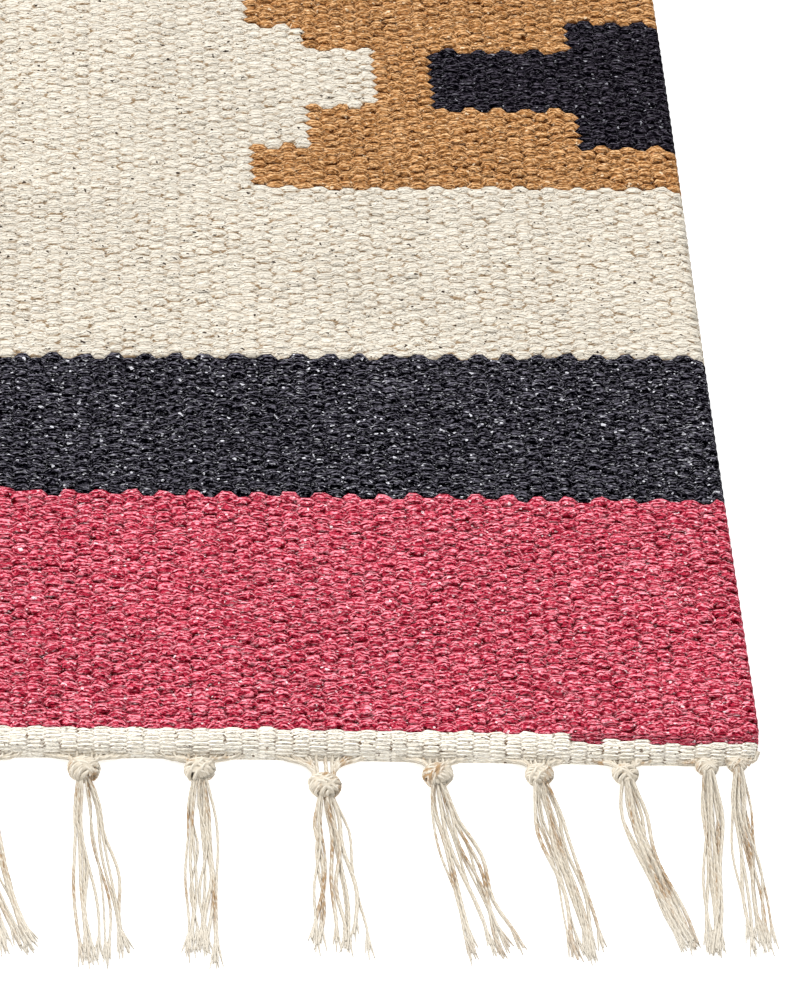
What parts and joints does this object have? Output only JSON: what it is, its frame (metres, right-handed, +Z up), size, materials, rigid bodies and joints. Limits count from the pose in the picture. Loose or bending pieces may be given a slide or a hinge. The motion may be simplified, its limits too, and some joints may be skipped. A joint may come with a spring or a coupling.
{
  "type": "kilim rug",
  "caption": "Flat-woven kilim rug with bold stripes, stepped diamonds in its pale field and knotted fringe tassels along both ends.",
  "frame": {"origin": "on the floor under the middle of the rug", "axes": "+X across the width, +Y along the length, +Z up out of the woven face"},
  "size_m": [0.6017, 1.0093, 0.0052],
  "materials": {
    "woven_cloth": "matte weft-faced cotton in cream, charcoal, raspberry and ochre",
    "fringe_yarn": "matte undyed plied cotton yarn"
  },
  "bodies": {
    "root": {"rug_cloth": "woven_cloth", "tassel_far_01": "fringe_yarn", "tassel_far_02": "fringe_yarn", "tassel_far_03": "fringe_yarn", "tassel_far_04": "fringe_yarn", "tassel_far_05": "fringe_yarn", "tassel_far_06": "fringe_yarn", "tassel_far_07": "fringe_yarn", "tassel_far_08": "fringe_yarn", "tassel_far_09": "fringe_yarn", "tassel_far_10": "fringe_yarn", "tassel_far_11": "fringe_yarn", "tassel_far_12": "fringe_yarn", "tassel_far_13": "fringe_yarn", "tassel_far_14": "fringe_yarn", "tassel_far_15": "fringe_yarn", "tassel_far_16": "fringe_yarn", "tassel_far_17": "fringe_yarn", "tassel_far_18": "fringe_yarn", "tassel_far_19": "fringe_yarn", "tassel_far_20": "fringe_yarn", "tassel_far_21": "fringe_yarn", "tassel_far_22": "fringe_yarn", "tassel_far_23": "fringe_yarn", "tassel_far_24": "fringe_yarn", "tassel_far_25": "fringe_yarn", "tassel_far_26": "fringe_yarn", "tassel_near_01": "fringe_yarn", "tassel_near_02": "fringe_yarn", "tassel_near_03": "fringe_yarn", "tassel_near_04": "fringe_yarn", "tassel_near_05": "fringe_yarn", "tassel_near_06": "fringe_yarn", "tassel_near_07": "fringe_yarn", "tassel_near_08": "fringe_yarn", "tassel_near_09": "fringe_yarn", "tassel_near_10": "fringe_yarn", "tassel_near_11": "fringe_yarn", "tassel_near_12": "fringe_yarn", "tassel_near_13": "fringe_yarn", "tassel_near_14": "fringe_yarn", "tassel_near_15": "fringe_yarn", "tassel_near_16": "fringe_yarn", "tassel_near_17": "fringe_yarn", "tassel_near_18": "fringe_yarn", "tassel_near_19": "fringe_yarn", "tassel_near_20": "fringe_yarn", "tassel_near_21": "fringe_yarn", "tassel_near_22": "fringe_yarn", "tassel_near_23": "fringe_yarn", "tassel_near_24": "fringe_yarn", "tassel_near_25": "fringe_yarn", "tassel_near_26": "fringe_yarn", "tassel_near_27": "fringe_yarn"}
  },
  "joints": []
}
